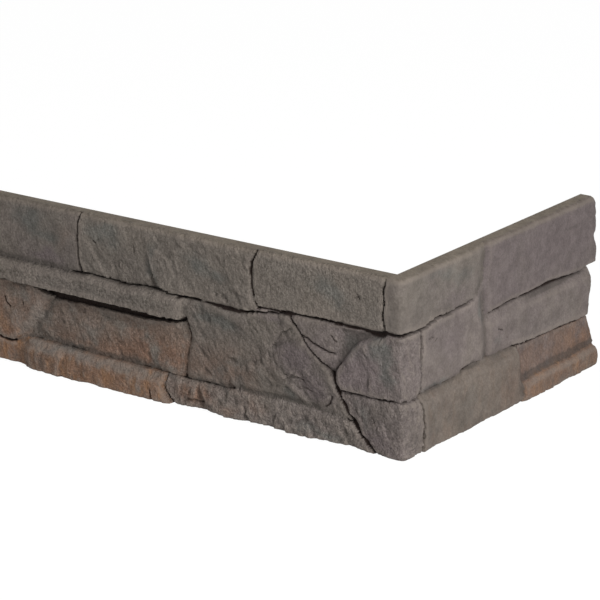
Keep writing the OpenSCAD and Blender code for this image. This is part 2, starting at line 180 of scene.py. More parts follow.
def stones(size):
    """All stones of the two legs by name, course by course."""
    # Lines beyond the two ends of the casting.
    left_end, right_end = upright(LONG_END - 40), upright(SHORT_END + 44)
    strip, ledge, foot = FACE + size.strip_proud, FACE + size.ledge_proud, FACE + size.foot_proud
    return {
        "top_left": Stone(TOP_LONG, level(TOP), left_end, TOP_LEFT_SIDE, FACE, "lt", facets=0.42,
            tone=0.93, violet=0.22),
        "top_riven": Stone(TOP_LONG, level(TOP), TOP_LEFT_SIDE, TOP_MID_SIDE, FACE + 0.8, "t", facets=0.92,
            steep=False, fine=1.1, violet=0.0),
        "top_sandy": Stone(TOP_MID, level(TOP), TOP_MID_SIDE, TOP_ARRIS_SIDE, FACE, "t", facets=0.18,
            grit=0.12, tone=1.07, steep=False, fine=1.3, violet=0.0),
        "top_corner": Stone(TOP_CORNER, level(TOP), TOP_ARRIS_SIDE, VALLEY_SIDE, FACE + 0.6, "t",
            slopes={"r": (16, 3.6)}, facets=0.22, rolling=0.9, tone=0.96, fine=0.45),
        "top_right": Stone(TOP_RIGHT, level(TOP), VALLEY_SIDE, right_end, FACE + 0.8, "tr",
            slopes={"l": (7, 2.4)}, facets=0.16, tone=0.88, fine=0.4, violet=0.75),
        "top_tongue": Stone(TOP_LONG, TOP_MID, upright(-146), upright(-104), FACE + 0.9, facets=0.3,
            rolling=0.5, tone=1.04, steep=False, violet=0.4),
        "strip": Stone(STRIP_LOW, TOP_LONG, left_end, STRIP_END, strip, "l",
            slopes={"r": (2.2, 2.4), "t": (4.6, 3.0)}, facets=0.25, rolling=0.5, grit=0.3, tone=1.07,
            steep=False, fine=1.9, violet=0.05),
        "left_block": Stone(LEFT_LOW, LEFT_HIGH, left_end, LEFT_SLANT, FACE + 1.4, "l",
            slopes={"r": (10, 6, True)}, rolling=1.2, tone=1.13, brown=0.5, fine=1.6, violet=0.15),
        "left_foot": Stone(level(0), LEFT_LOW, left_end, FOOT_LEFT_SIDE, FACE + 0.6, "lb", lean=(0, 1.4),
            rolling=0.8, tone=1.2, rust=1.0),
        "set_back": Stone(LEDGE, SLOT, LEFT_SLANT, MID_UPRIGHT, FACE - size.recess + 1.6, lean=(3.2, 0),
            rolling=0.9, grit=0.15, tone=1.12, brown=0.34, steep=False, fine=1.5, violet=0.1),
        "ledge": Stone(level(0), LEDGE, FOOT_LEFT_SIDE, FOOT_MID_SIDE, ledge, "b",
            slopes={"l": (17, 5.4), "t": (7.5, 4.6, True)}, facets=0.9, tone=1.14, rust=1.0, fine=1.4,
            violet=0.15),
        "foot_rough": Stone(level(0), LEDGE, FOOT_MID_SIDE, FOOT_CORNER_SIDE, FACE + 1.4, "b",
            slopes={"t": (6, 1.4)}, facets=1.7, tone=1.17, fine=1.7, violet=0.3),
        "great_riven": Stone(LEDGE, TOP_LONG, MID_UPRIGHT, DIAGONAL, FACE + 1.2,
            slopes={"b": (6, 1.2), "l": (6, 1.8)}, facets=1.3, rolling=1.2, tone=0.92, steep=False, fine=1.2,
            violet=0.15),
        "wedge": Stone(level(40), TOP_MID, DIAGONAL, ROUND_SIDE, FACE + 0.2, slopes={"r": (15, 4.6)},
            facets=0.5, rolling=0.7, tone=1.0, steep=False, fine=1.1, violet=0.45),
        "round_corner": Stone(ROUND_LOW, TOP_CORNER, ROUND_SIDE, SHORT_BLOCK_SIDE, FACE + 1.8,
            slopes={"l": (6, 1.4)}, facets=0.85, tone=1.05, fine=1.2, violet=0.55),
        "corner_foot": Stone(level(0), ROUND_LOW, FOOT_CORNER_SIDE, SHORT_BLOCK_SIDE, FACE + 2.6, "b",
            lean=(7, -2), facets=1.3, tone=1.06, fine=1.5, violet=0.5),
        "short_block": Stone(SHORT_LOW, TOP_CORNER, SHORT_BLOCK_SIDE, VALLEY_SIDE, FACE + 2.2,
            slopes={"r": (13, 3.4)}, facets=0.25, rolling=0.9, tone=1.03, fine=0.5, violet=0.45),
        "short_right": Stone(SHORT_LOW, TOP_RIGHT, VALLEY_SIDE, right_end, FACE + 2.8, "r",
            slopes={"l": (5, 1.2), "t": (11, 3.8)}, facets=0.22, rolling=0.9, fine=0.5, violet=0.5),
        "short_foot": Stone(level(0), SHORT_LOW, SHORT_BLOCK_SIDE, FOOT_SPLIT_SIDE, FACE + 6.5, "b",
            slopes={"t": (10, 4)}, lean=(0, -3), facets=0.35, tone=0.92, rust=0.12, fine=0.55, violet=0.1),
        "brown_slope": Stone(FOOT_LEDGE, SHORT_LOW, FOOT_SPLIT_SIDE, right_end, FACE + 2, "r",
            lean=(0, -4.4), facets=0.35, rolling=0.8, tone=0.89, rust=0.15, brown=0.5, fine=0.9, violet=0.6),
        "foot_ledge": Stone(level(0), FOOT_LEDGE, FOOT_SPLIT_SIDE, right_end, foot, "rb",
            slopes={"t": (4, 2.4), "l": (3, 1)}, facets=0.5, rolling=0.9, tone=1.0, rust=0.75, fine=0.9),
    }


# Ragged end of the short leg as (height, along).
RAGGED_END = line((0, 290.6), (3, 292.6), (7, 294.2), (13, 293.6), (17, 292.4), (18.6, 290), (19.4, 295.6),
    (26, 295), (36, 292.8), (44, 290), (45.4, 286.4), (48.8, 287.8), (54, 288.6), (66, 290.2), (78, 290),
    (84, 290.4), (87.6, 289.6), (89.4, 288.6), (90.6, 299.4), (97, 300.4), (104, 300.8), (110, 298.4),
    (116.6, 297), (119, 300), (127, 300.6), (136, 299.6), (144, 298.4), (150, 296.2))

# Cracks inside the stones: width, depth and their points.
CRACKS = [
    (0.8, 2.4, [(-97, 86.6), (-90, 84.4), (-86, 82), (-81, 80.4), (-75, 78.4), (-70, 77), (-65, 76)]),
    (0.6, 1.2, [(-67.5, 92), (-65, 88.6), (-63, 86.8)]),
    (0.5, 0.9, [(-184, 105), (-182, 103.4), (-174, 103), (-172.4, 99)]),
    (0.9, 1.8, [(-66, 40), (-67, 36), (-68.5, 33), (-72, 30.6)]),
    (0.7, 1.4, [(-313, 128), (-310, 126)]),
    (0.6, 0.9, [(-270, 131), (-269.5, 125)]),
    (0.8, 1.8, [(-413, 60), (-411, 55), (-408, 51.6)]),
    (0.6, 1.2, [(-393, 61), (-392, 56)]),
    (0.7, 1.4, [(-250, 10), (-249.4, 5), (-249, 0)]),
    (0.8, 1.4, [(-213, 7.6), (-205, 7.8), (-198, 7)]),
    (0.7, 1.0, [(141, 72.6), (145, 71), (149, 69.6)]),
    (0.6, 1.0, [(-43, 131), (-41.6, 128.6), (-40, 127)]),
    (0.6, 0.8, [(-45, 127.6), (-41, 129.6)]),
    # Painted shade: a dark band just under the right top stone's overhang, cut in a little.
    (1.1, 0.9, [(186, 89.4), (198, 88.8), (212, 88.6), (230, 88.2), (246, 88), (262, 87.4)]),
    (0.6, 0.8, [(37, 91.4), (40, 93), (44, 91.6)]),
    (0.6, 0.8, [(46, 88.4), (48.4, 90)]),
    (0.6, 0.8, [(29, 86), (29.4, 83)]),
    (0.5, 0.7, [(154, 62), (157, 60.6)]),
    (0.6, 0.9, [(-159, 26), (-158, 30), (-156, 31.4)]),
    (0.5, 0.8, [(-116, 50.4), (-108, 48.8), (-100, 49.4), (-92, 47.6)]),
    (0.5, 0.8, [(-100, 40), (-92, 41.4), (-86, 39.6)]),
    (0.5, 0.7, [(-30, 34), (-24, 27), (-21, 20)]),
    (0.5, 0.7, [(-44, 33), (-38, 27)]),
]

# Steps: the rise on the left side seen along the line, how far that side stays raised, and the points.
STEPS = [
    (2.0, 26, [(-249.4, 114), (-247, 106), (-243.6, 101.4), (-239, 99.6), (-233, 98.4)]),
    (1.0, 12, [(-172.6, 99), (-174, 103), (-184, 105)]),
    (1.2, 18, [(-150, 26), (-156, 27.6), (-160, 32)]),
    (0.9, 14, [(-112, 46), (-106, 51), (-97, 50), (-90, 45)]),
    (1.0, 16, [(-125, 72), (-118, 84), (-108, 90)]),
    (0.8, 14, [(-198, 80), (-205, 88), (-212, 93)]),
]

# Places where a joint closes to a soft valley: along from and to, height from and to, how far it closes.
CLOSED = [
    (-480, -336, 91, 102, 0.88), (-318, -250, 91, 101.5, 0.3), (-219, -208, 80, 95, 0.8),
    (-153, -143, 96.5, 110, 1.0), (-132, -108, 97.8, 101.3, 0.4), (-394, -381, 24.5, 36, 1.0),
    (-387, -374, 34, 46, 1.0), (-380, -367, 44, 56, 1.0), (-373, -357, 54, 67, 1.0), (-402, -390, 0, 25, 1.0),
    (-390, -218, 22, 31, 0.62), (-240, -228, 0, 23, 0.5), (-213, -166, 22, 30, 0.6),
    (-164, -66, 20, 32, 0.93), (-66, -51, 20, 28, 0.95), (-219, -206, 28, 60, 0.78),
    (-109, -68, 61, 99, 0.35), (-62, -36, 70, 97, 0.98), (-48, -13, 88, 98.2, 0.98),
    (-26, -8, 145.5, 151, 0.85), (-56, 5, 43, 50.5, 0.5), (6, 24, 43, 50.5, 0.75), (104, 131, 92, 151, 1.0),
    (116, 131, 54, 92, 1.0), (24, 30, 52, 78, 0.7), (24, 30, 78, 101, 0.15), (22, 29, 0, 44, 0.15),
    (28, 88, 46, 54, 0.8), (100, 164, 47, 56, 0.85), (163, 178, 0, 46, 0.85), (176, 300, 14, 22, 1.0),
    (72, 116, 102, 122, 0.4),
]

# Soft hollows, with painted shade where overhangs and valleys throw shade: (along, height, reach along, reach
# up, fall, wash of painted shade).
HOLLOWS = [
    (222, 86.4, 34, 3, 1.4, 1.2), (262, 87, 20, 2.4, 1.0, 0.5), (117, 106, 5, 13, 0.5, 0.5),
    (121, 88, 3.4, 9, 0.6, 0.5), (96, 52, 12, 3.2, 1.2, 0.8), (44, 50.6, 18, 3.2, 0.8, 0.5),
    (-54, 82, 6, 11, 0.6, 0.7), (-42, 94, 10, 4.6, 0.6, 0.7), (-379, 40, 3, 6, 0.4, 0.8),
    (-371, 51, 3, 6, 0.4, 0.8), (-364, 60, 3, 5, 0.4, 0.8), (-352, 50, 6, 12, 0.2, 0.3),
    (-300, 28, 60, 1.8, 0.2, 0.3), (-120, 28.4, 50, 2.6, 0.7, 0.6), (-247, 103, 5, 7, 0.8, 0.8),
    (-233, 99, 8, 2.4, 0.6, 0.8), (-430, 97, 60, 2.4, 0.2, 0.25), (-392, 14, 5, 12, 0.3, 0.4),
    (172, 26, 5, 20, 0.2, 0.45), (230, 20.6, 60, 3, 0.4, 0.5), (262, 131, 16, 3, 0.5, 0.3),
]

# Places where a joint opens wider: (along, height, reach along, reach up, extra half width).
OPENINGS = [
    (-170, 94, 15, 3.6, 1.8), (-200, 96.4, 14, 2.6, 0.5), (-109, 101.8, 4.5, 2.4, 1.5),
    (-130, 101.6, 16, 1.6, 0.5), (-66, 102.6, 30, 2.2, 0.5), (-329, 118, 3, 22, 0.35),
    (-146.6, 122, 3, 24, 0.7), (-213, 73, 3, 5, 0.3), (-430, 78, 36, 2, 0.4), (94, 51.8, 8, 2, 0.6),
    # The openings at (-29, 100.6) and (220, 89.4) widen the joints under the top stones' overhangs, and their
    # near black joint colour there is painted shade.
    (150, 89.6, 30, 2.4, 0.5), (-125, 101.4, 12, 1.4, 0.5), (-29, 100.6, 8, 4.2, 2.7),
    (-17, 124, 3, 18, -0.3), (-86, 80, 14, 15, -0.25), (250, 46.6, 44, 2, 0.25), (192, 48.2, 20, 2, 0.4),
    (-46, 102.4, 9, 1.8, 0.8), (-14, 103, 7, 3, 1.1), (4, 103.4, 14, 2, 0.6), (-64, 56, 3, 6, 1.0),
    (-60, 46, 3, 7, 0.9), (-53, 33, 4, 8, 0.9), (-44, 20, 4, 8, 0.9), (-33, 8, 5, 7, 0.8),
    (-398, 21.6, 5, 2, 0.8), (-412, 21, 9, 1.6, 0.5), (220, 89.4, 30, 2.8, 1.3),
]

# Pigment patches by kind, where the lighter kind is partly light deposits and partly painted highlight on lit
# rims: (along, height, reach along, reach up, strength).
STAINS = {
    "cool": [(-384, 134, 20, 12, 0.8), (-362, 122, 14, 8, 0.6), (-302, 138, 20, 11, 0.8),
        (-288, 124, 10, 7, 0.5), (-252, 128, 6, 14, 0.6), (-247, 110, 7, 8, 0.6), (-204, 130, 14, 9, 0.7),
        (-184, 120, 12, 8, 0.6), (-78, 132, 16, 10, 0.5), (-60, 122, 14, 12, 0.55), (56, 141, 18, 6, 0.5),
        (86, 135, 18, 9, 0.5), (-190, 86, 16, 6, 0.8), (-172, 79, 12, 6, 0.7), (-108, 31, 9, 6, 0.6),
        (-14, 80, 8, 12, 0.6), (-8, 66, 9, 9, 0.6), (-52, 88, 8, 10, 0.6), (-38, 34, 10, 8, 0.5),
        (-30, 22, 9, 8, 0.4), (-88, 10, 14, 7, 0.6), (-68, 5, 10, 5, 0.6), (140, 62, 10, 8, 0.5),
        (118, 96, 6, 16, 0.6), (-340, 23.6, 46, 2.6, 0.6), (-262, 22.6, 26, 2.4, 0.45),
        (80, 22, 60, 20, 0.35), (-190, 24, 60, 2.6, 0.6), (46, 51, 20, 4, 0.6), (-27, 88, 12, 9, 0.55),
        (-20, 95, 14, 5, 0.5)],
    "rust": [(-345, 23.4, 45, 3.2, -0.9), (-270, 22, 38, 2.8, -0.7), (-378, 9, 18, 12, -0.45),
        (-432, 38, 26, 15, 0.8), (-404, 27, 12, 6, 0.7)],
    # Lighter patches: painted highlight on the strip's lit right end, the set back stone's right rim and the
    # rounded arris, and light deposits elsewhere.
    "pale": [(-262, 12, 12, 7, 0.4), (-400, 42, 7, 12, 0.7), (10, 122, 9, 20, 0.5), (9, 70, 5, 30, 0.4),
        (14, 24, 8, 22, 0.5), (275, 58, 8, 6, 0.6), (-216.4, 87, 1.3, 8, 1.2), (-218.6, 48, 2, 24, 0.6),
        (-150, 12, 22, 4, 0.5), (-110, 16, 14, 3, 0.4), (-70, 52, 4, 12, 0.3)],
    "violet": [(-48, 68, 12, 10, 0.5), (-100, 66, 20, 14, 0.9), (-84, 44, 18, 10, 0.7),
        (-365, 105, 16, 5, 0.7), (250, 128, 40, 18, 0.5), (-128, 96, 12, 4, 0.6), (-38, 70, 16, 16, 0.4),
        (84, 118, 26, 12, 0.3), (70, 84, 30, 16, 0.2), (-20, 12, 16, 10, 0.3)],
    "brown": [(-430, 40, 24, 17, 1.0), (-410, 30, 12, 8, 0.6), (-250, 46, 40, 16, 0.6),
        (-230, 34, 22, 10, 0.5), (-172, 42, 34, 17, 0.55), (-208, 12, 20, 8, 1.0), (158, 18, 14, 22, 0.35),
        (-145, 14, 10, 8, 0.5), (-170, 6, 10, 6, 0.5), (-300, 34, 60, 8, 0.5), (270, 30, 24, 12, 0.6),
        (-345, 126, 8, 10, 0.2)],
}


# ---------------- noise
TABLE_SIZE = 64


def lattice(seed):
    return np.random.default_rng(seed).random((TABLE_SIZE, TABLE_SIZE))


def value_noise(x, y, size, seed):
    """Smooth values about -1 to 1: random corner values, eased between corners that are size apart."""
    table = lattice(seed)
    px, py = x / size, y / size
    ix, iy = np.floor(px).astype(int), np.floor(py).astype(int)
    fx, fy = px - ix, py - iy
    fx, fy = fx * fx * (3 - 2 * fx), fy * fy * (3 - 2 * fy)

    def corner(dx, dy):
        return table[(ix + dx) % TABLE_SIZE, (iy + dy) % TABLE_SIZE]

    low = corner(0, 0) * (1 - fx) + corner(1, 0) * fx
    high = corner(0, 1) * (1 - fx) + corner(1, 1) * fx
    return 2 * (low * (1 - fy) + high * fy) - 1


def layered_noise(x, y, size, seed, layers=4, gain=0.5):
    """Sum of value noises, each half as wide as the last and gain as strong."""
    total, weight, share = 0.0, 1.0, 0.0
    for k in range(layers):
        total = total + weight * value_noise(x + 17.3 * k, y - 9.1 * k, size / 2 ** k, seed + k)
        share += weight
        weight *= gain
    return total / share * 1.6


def facets(x, y, size, seed, crisp=3.0):
    """Broken planes: each jittered point owns a tilted plane, and near planes blend by their distance."""
    px, py = x / size, y / size
    ix, iy = np.floor(px).astype(int), np.floor(py).astype(int)
    jitter_x, jitter_y = lattice(seed), lattice(seed + 1)
    tilt_x, tilt_y, lift = lattice(seed + 2), lattice(seed + 3), lattice(seed + 4)
    total, share = 0.0, 0.0
    for dx in (-1, 0, 1):
        for dy in (-1, 0, 1):
            key = (ix + dx) % TABLE_SIZE, (iy + dy) % TABLE_SIZE
            rx = px - (ix + dx + jitter_x[key])
            ry = py - (iy + dy + jitter_y[key])
            weight = np.exp(-crisp * 4 * (rx * rx + ry * ry))
            plane = (tilt_x[key] - 0.5) * 2 * rx + (tilt_y[key] - 0.5) * 2 * ry + (lift[key] - 0.5)
            total = total + weight * plane
            share = share + weight
    return total / share * 1.6


def ease(t):
    """Smooth rise from 0 to 1 as t does, and level outside."""
    t = np.clip(t, 0, 1)
    return t * t * (3 - 2 * t)


def to_polyline(x, y, points):
    """Distance to a line of straight pieces, and which side of it: positive on its left."""
    best, side = np.full(x.shape, 1e9), np.zeros(x.shape)
    for (x0, y0), (x1, y1) in zip(points[:-1], points[1:]):
        dx, dy = x1 - x0, y1 - y0
        length = dx * dx + dy * dy
        t = np.clip(((x - x0) * dx + (y - y0) * dy) / length, 0, 1)
        away = np.hypot(x - x0 - t * dx, y - y0 - t * dy)
        nearer = away < best
        best = np.where(nearer, away, best)
        side = np.where(nearer, np.sign(dx * (y - y0) - dy * (x - x0)), side)
    return best, side


# ---------------- relief
def side_distances(stone, u, z):
    """Distances in from the left, right, low and high side, square to each line."""
    def lean_of(edge, at):
        return 1 / np.sqrt(1 + ((edge(at + 1) - edge(at - 1)) / 2) ** 2)

    return {
        "l": (u - stone.left(z)) * lean_of(stone.left, z),
        "r": (stone.right(z) - u) * lean_of(stone.right, z),
        "b": (z - stone.low(u)) * lean_of(stone.low, u),
        "t": (stone.high(u) - z) * lean_of(stone.high, u),
    }


def joint_depths(stone, u, z):
    """Distance in from the nearest joint of the stone, leaving out its outer edges."""
    sides = side_distances(stone, u, z)
    inner = [d for s, d in sides.items() if s not in stone.open_sides]
    return np.minimum.reduce(inner), sides


def owners(u, z, layout):
    """Number of the stone that each place lies on, and its distance in from that stone's nearest joint."""
    depths = np.stack([joint_depths(s, u, z)[0] for s in layout])
    owner = depths.argmax(0)
    return owner, np.take_along_axis(depths, owner[None], 0)[0]


def widening(u, z):
    """How much wider than usual each half of a joint is at a place."""
    return sum(w * np.exp(-((u - a) / ra) ** 2 - ((z - h) / rh) ** 2) for a, h, ra, rh, w in OPENINGS)


def stain(kind, u, z):
    """Strength of the pigment patches of a kind, their edges broken up."""
    drift_u, drift_z = 5 * layered_noise(u, z, 14, 91, 3), 4 * layered_noise(u, z, 14, 95, 3)
    return sum(strength * np.exp(-((u + drift_u - a) / ra) ** 2 - ((z + drift_z - h) / rh) ** 2)
               for a, h, ra, rh, strength in STAINS[kind])


def snapped(u, z, layout, reach):
    """Moves grid places that lie within reach of a joint squarely onto it, so that joints run clean."""
    owner, inside = owners(u, z, layout)
    new_u, new_z = u.copy(), z.copy()
    for k, stone in enumerate(layout):
        sides = side_distances(stone, u, z)
        names = [s for s in sides if s not in stone.open_sides]
        nearest = np.stack([sides[s] for s in names]).argmin(0)
        for i, name in enumerate(names):
            here = (owner == k) & (nearest == i) & (np.abs(inside) < reach)
            edge = {"l": stone.left, "r": stone.right, "b": stone.low, "t": stone.high}[name]
            key, value = (z, u) if name in "lr" else (u, z)
            slope = (edge(key + 1) - edge(key - 1)) / 2
            square = (edge(key) - value) / (1 + slope * slope)
            step_u, step_z = (square, -square * slope) if name in "lr" else (-square * slope, square)
            new_u, new_z = np.where(here, u + step_u, new_u), np.where(here, z + step_z, new_z)
    inner = (u > LONG_END + 1) & (u < SHORT_END - 8) & (z > 1.2) & (z < TOP - 1.2) & (widening(u, z) < 0.45)
    return np.where(inner, new_u, u), np.where(inner, new_z, z)


def closed_share(u, z):
    """How far the joints close at a place: soft-edged boxes, the strongest one counting."""
    total = np.zeros(u.shape)
    for u0, u1, z0, z1, share in CLOSED:
        beside = ease((u - u0 + 2) / 4) * ease((u1 + 2 - u) / 4)
        total = np.maximum(total, share * (beside * ease((z - z0 + 1.5) / 3) * ease((z1 + 1.5 - z) / 3)))
    return total


def unit(values):
    """The same values about 0 with a spread of 1."""
    return (values - values.mean()) / values.std()


def grain(u, z, angle, seed):
    """Riven grain of spread 1 that runs down to the right at an angle: broken planes and ripples."""
    warp_u = u + 5 * value_noise(u, z, 30, seed)
    warp_z = z + 5 * value_noise(u, z, 30, seed + 1)
    c, s = math.cos(math.radians(angle)), math.sin(math.radians(angle))
    along, across = c * warp_u - s * warp_z, s * warp_u + c * warp_z
    return (0.46 * unit(facets(along * 0.5, across, 21, seed + 11, 4.5))
            + 0.27 * unit(facets(along * 0.45, across, 8.5, seed + 21, 5.5))
            + 0.17 * unit(facets(along * 0.55 + 3, across, 4.2, seed + 25, 5.0))
            + 0.17 * unit(layered_noise(along * 0.42, across, 6, seed + 31, 3, 0.75)))


def softened(values, rounds):
    """Each value averaged with its neighbours on the grid, over and over."""
    for _ in range(rounds):
        for axis in (0, 1):
            before, after = np.roll(values, 1, axis), np.roll(values, -1, axis)
            mean = (before + 2 * values + after) / 4
            if axis:
                mean[:, 0], mean[:, -1] = values[:, 0], values[:, -1]
            else:
                mean[0], mean[-1] = values[0], values[-1]
            values = mean
    return values


# Fall and width of the outer edges and of the round rim at the head, the cut of a wide crack, and the least
# distance from the wall.
OUTER_FALL, OUTER_RIM = 1.2, 2.2
HEAD_FALL, HEAD_RIM = 1.6, 4.2
WIDE_CUT = 3.5
LEAST_DEPTH = 4.0
# Strength in millimetres of the hollows that roll over several stones.
ROLLING = 0.4
RIPPLES_AT = -394.0
# The left block's bevel lies left of this place and above this height, and is drawn lighter as a painted
# highlight, lit from the right.
BEVEL_END, BEVEL_FOOT = -354.0, 24.0


def relief(u, z, layout, size):
    """Distance from the wall over the whole face, with the masks that the colour reads.

    Each stone's face is its own plane, with riven grain, rolling hollows and grit on it. It falls round
    at its rim, and drops to the joint floor at the joint's half width. The wash mask is how far a place
    lies below its surroundings, partly pigment that gathers there and partly painted shade, with painted
    shade added in the listed hollows; below 0 it stands out and is drawn lighter, partly rubbed ridges and
    partly painted highlight on the left block's bevel and the lighter patches.
    """
    grains = {False: grain(u, z, 52, 3), True: grain(u, z, 78, 103)}
    rolling = unit(layered_noise(u, z, 44, 41, 3, 0.5))
    grit = unit(layered_noise(u, z, 3.4, 51, 2, 0.7))
    edge_break = layered_noise(u, z, 6, 61, 3, 0.6)
    widen = widening(u, z)
    closed = closed_share(u, z)
    between = ease(closed / 0.2) * ease((1 - closed) / 0.2)
    closed = np.clip(closed + 0.3 * value_noise(u, z, 4, 65) * between, 0, 1)

    insides, values, halves, bevels = [], [], [], []
    for stone in layout:
        inside, sides = joint_depths(stone, u, z)
        across = np.clip(sides["l"] / np.maximum(sides["l"] + sides["r"], 1e-3), 0, 1)
        up = np.clip(sides["b"] / np.maximum(sides["b"] + sides["t"], 1e-3), 0, 1)
        face = (stone.out + stone.lean[0] * (across - 0.5) + stone.lean[1] * (up - 0.5)
                + stone.facets * size.relief * grains[stone.steep]
                + stone.rolling * ROLLING * rolling + stone.grit * grit)
        fall = sum(drop * (1 - (np.clip(sides[s] / width, 0, 1) if straight else ease(sides[s] / width)))
                   for s, (width, drop, *straight) in stone.slopes.items())
        half = size.joint / 2 * (1 + 0.6 * edge_break) + widen * (1 + 0.3 * edge_break)
        rim = np.clip((inside - half) / size.rim, 0, 1)
        rim_fall = size.rim_fall * (1 + 0.6 * edge_break) * (1 - np.sqrt(1 - (1 - rim) ** 2 * 0.999))
        outer = np.minimum.reduce([sides[s] for s in stone.open_sides] + [np.full(u.shape, 99.0)])
        outer_fall = OUTER_FALL * (1 + 0.4 * edge_break) * (1 - ease(outer / OUTER_RIM)) ** 1.5
        if "t" in stone.open_sides:
            rise = np.clip(sides["t"] / HEAD_RIM, 0, 1)
            outer_fall = outer_fall + HEAD_FALL * (1 + 0.5 * edge_break) * (1 - np.sqrt(1 - (1 - rise) ** 2))
        insides.append(inside)
        halves.append(half)
        bevels.append(sum((ease((width - sides[s]) / 2) for s, (width, _, *straight) in stone.slopes.items()
                           if straight), 0.0 * u))
        values.append(face - fall - rim_fall * (1 - 0.85 * closed) - outer_fall)
    insides, values, halves, bevels = np.stack(insides), np.stack(values), np.stack(halves), np.stack(bevels)
    order = np.argsort(-insides, axis=0)[:2]
    owner = order[0]

    def own(stack, rank=0):
        return np.take_along_axis(stack, order[rank][None], 0)[0]

    inside, value, half = own(insides), own(values), own(halves)
    both = np.minimum(value, own(values, 1))
    wide = ease((widen - 0.3) / 0.3)
    floor = np.maximum(size.floor, (both - WIDE_CUT) * wide)
    gap = both - (1 - closed) * (both - floor)
    depth = gap + (value - gap) * ease((inside / half - 0.3) / 0.6)
    joint = (1 - ease((inside - half + 0.45 + 0.3 * wide) / (0.75 + 0.35 * wide))) * (1 - closed)

    def per_stone(name):
        return np.array([getattr(s, name) for s in layout])[owner]

    rust, brown, fine = per_stone("rust"), per_stone("brown"), per_stone("fine")
    tone = per_stone("tone") * (1 + 0.022 * unit(layered_noise(u, z, 34, 45, 3, 0.6)))

    for width, fall, points in CRACKS:
        away, _ = to_polyline(u, z, points)
        cut = np.exp(-(away / width) ** 2)
        depth = depth - fall * cut
        joint = np.maximum(joint, 0.75 * cut * min(1.0, fall / 1.2))
    for rise, reach, points in STEPS:
        away, side = to_polyline(u, z, points)
        raised = np.where(side > 0, rise * np.exp(-(away / reach) ** 2), -0.5 * rise * np.exp(-away / 2.5))
        near_ends = ease(1 - away / reach)
        depth = depth + np.where(joint < 0.5, raised * near_ends, 0)
    # Upright ripples between the orange stone and the ledge.
    ripples = np.exp(-((u - RIPPLES_AT) / 7) ** 2) * ease((24 - z) / 4)
    depth = depth + 0.9 * ripples * np.sin(u * 1.5 + 0.6 * np.sin(z * 0.3))
    depth = depth + closed * (softened(depth, 6) - depth) * 0.85
    depth = depth + wide * (softened(depth, 3) - depth) * 0.9
    # Painted highlight on the left block's bevel, and the lighter patches, which are partly light deposits
    # and partly painted highlight on lit rims.
    painted_shade_and_highlight = -0.75 * own(bevels) * (u < BEVEL_END) * (z > BEVEL_FOOT) - stain("pale", u, z)
    # Painted shade in the hollows under overhangs and in the valleys.
    for a, h, ra, rh, fall, wash in HOLLOWS:
        here = np.exp(-((u - a) / ra) ** 2 - ((z - h) / rh) ** 2)
        depth = depth - fall * here
        painted_shade_and_highlight = painted_shade_and_highlight + wash * here
    depth = np.clip(depth, LEAST_DEPTH, np.where(u < 0, size.reach_long, size.reach_short))
    # The wash mask: darker where a place lies below its surroundings, partly pigment and partly painted
    # shade, and lighter where it stands out.
    wash = np.clip((softened(depth, 10) - depth) / 0.8, -0.8, 1) * (1 - joint) + painted_shade_and_highlight
    return depth, {"joint": joint, "tone": tone, "rust": np.clip(rust + stain("rust", u, z), 0, 1),
                   "brown": np.clip(brown + stain("brown", u, z), 0, 1), "plain": worn_head(z),
                   "wash": np.clip(wash, -1.3, 1.2), "fine": fine, "cool": stain("cool", u, z),
                   "violet": per_stone("violet") + stain("violet", u, z)}


# The masks on the bare cast sides and back.
BARE = {"joint": 0.0, "tone": 0.97, "rust": 0.0, "brown": 0.0, "plain": 1.0, "wash": 0.0, "fine": 0.4,
        "cool": 0.0, "violet": 0.0}


def worn_head(z):
    """Share of bare cast edge on the face's top rim."""
    return 0.75 * ease((z - 145) / 4)


def place(u, z, d):
    """Point of the casting in metres for a place on the face and a distance from the wall.

    On the legs the distance counts square to the wall. Round the arris the places fan out from the
    inner corner, and the distance follows a squared-off circle |c|^n + |s|^n = 1.
    """
    turn = np.where(u < 0, np.arctan2(FACE + u, FACE), math.pi / 2 - np.arctan2(FACE - u, FACE))
    turn = np.clip(turn, 0, math.pi / 2)
    c, s = np.cos(turn), np.sin(turn)
    crisp = ARRIS_ROUND + ARRIS_CRISPER * ease((TOP_COURSE - z) / 3) * ease((z + 2) / 12)
    r = d / (c ** crisp + s ** crisp) ** (1 / crisp)
    x = np.where(u <= -FACE, u + FACE, np.where(u >= FACE, d, r * s))
    y = np.where(u <= -FACE, -d, np.where(u >= FACE, u - FACE, -r * c))
    return np.stack([x, y, np.broadcast_to(z, x.shape)], -1) * MM


def columns(size):
    """Places along the face: coarse beyond the photo's edge, finest round the arris."""
    seen, near = -436, 20
    plain = np.arange(LONG_END, seen, 2.2)
    fine = np.arange(seen, -near, size.cell)
    corner = np.arange(-near, near, size.cell * 0.9)
    short = np.linspace(near, SHORT_END, int(round((SHORT_END - near) / size.cell)) + 1)
    return np.concatenate([plain, fine, corner, short])


